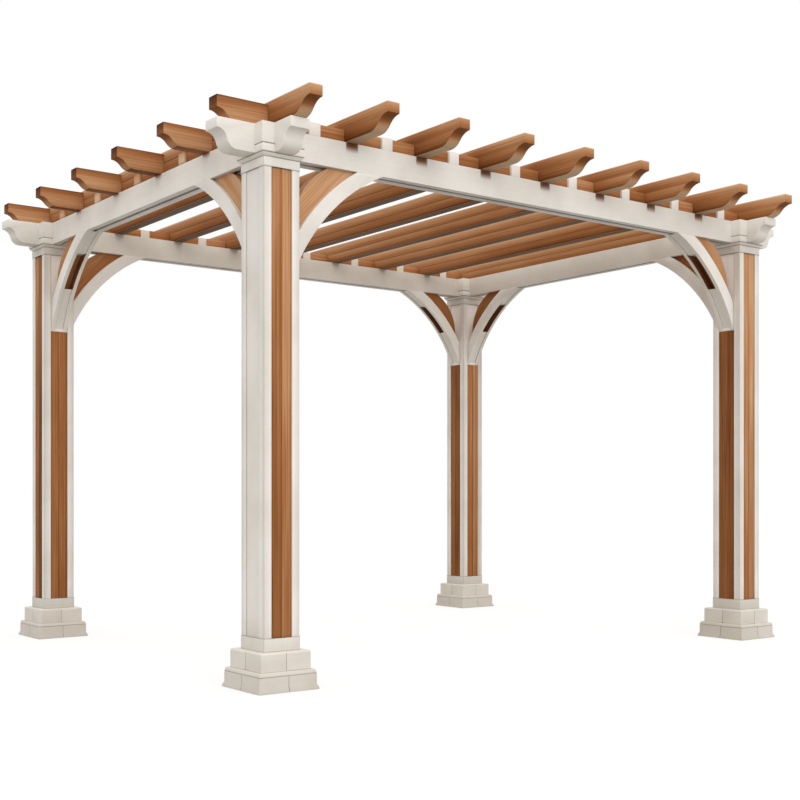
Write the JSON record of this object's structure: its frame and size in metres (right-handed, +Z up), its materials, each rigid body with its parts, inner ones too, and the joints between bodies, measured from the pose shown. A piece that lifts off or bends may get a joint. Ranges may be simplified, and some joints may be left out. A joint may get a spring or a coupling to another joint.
{
  "type": "pergola",
  "caption": "Free-standing pergola with panelled off-white posts on stepped plinths, curved knee braces with timber arcs, and ogee-tailed timber rafters",
  "frame": {"origin": "on the ground, below the centre of the four posts", "axes": "+X to the right along the longer beams, +Y to the back along the rafters, +Z up"},
  "size_m": [4.008, 3.194, 2.634],
  "materials": {
    "painted_timber": "satin off-white paint",
    "oiled_timber": "oiled softwood, matt"
  },
  "bodies": {
    "root": {"front_left_plinth": "painted_timber", "front_right_plinth": "painted_timber", "back_left_plinth": "painted_timber", "back_right_plinth": "painted_timber", "front_left_post": "painted_timber", "front_right_post": "painted_timber", "back_left_post": "painted_timber", "back_right_post": "painted_timber", "front_left_panels": "oiled_timber", "front_right_panels": "oiled_timber", "back_left_panels": "oiled_timber", "back_right_panels": "oiled_timber", "front_left_capital": "painted_timber", "front_right_capital": "painted_timber", "back_left_capital": "painted_timber", "back_right_capital": "painted_timber", "front_beam": "painted_timber", "back_beam": "painted_timber", "left_beam": "painted_timber", "right_beam": "painted_timber", "front_left_corbels": "painted_timber", "front_right_corbels": "painted_timber", "back_left_corbels": "painted_timber", "back_right_corbels": "painted_timber", "front_left_braces": "painted_timber", "front_right_braces": "painted_timber", "back_left_braces": "painted_timber", "back_right_braces": "painted_timber", "front_left_arcs": "oiled_timber", "front_right_arcs": "oiled_timber", "back_left_arcs": "oiled_timber", "back_right_arcs": "oiled_timber", "rafter_1": "oiled_timber", "rafter_2": "oiled_timber", "rafter_3": "oiled_timber", "rafter_4": "oiled_timber", "rafter_5": "oiled_timber", "rafter_6": "oiled_timber", "rafter_7": "oiled_timber", "rafter_8": "oiled_timber", "rafter_9": "oiled_timber", "left_tails": "oiled_timber", "right_tails": "oiled_timber", "front_blocking": "oiled_timber", "back_blocking": "oiled_timber", "spacer_blocks": "painted_timber"}
  },
  "joints": []
}
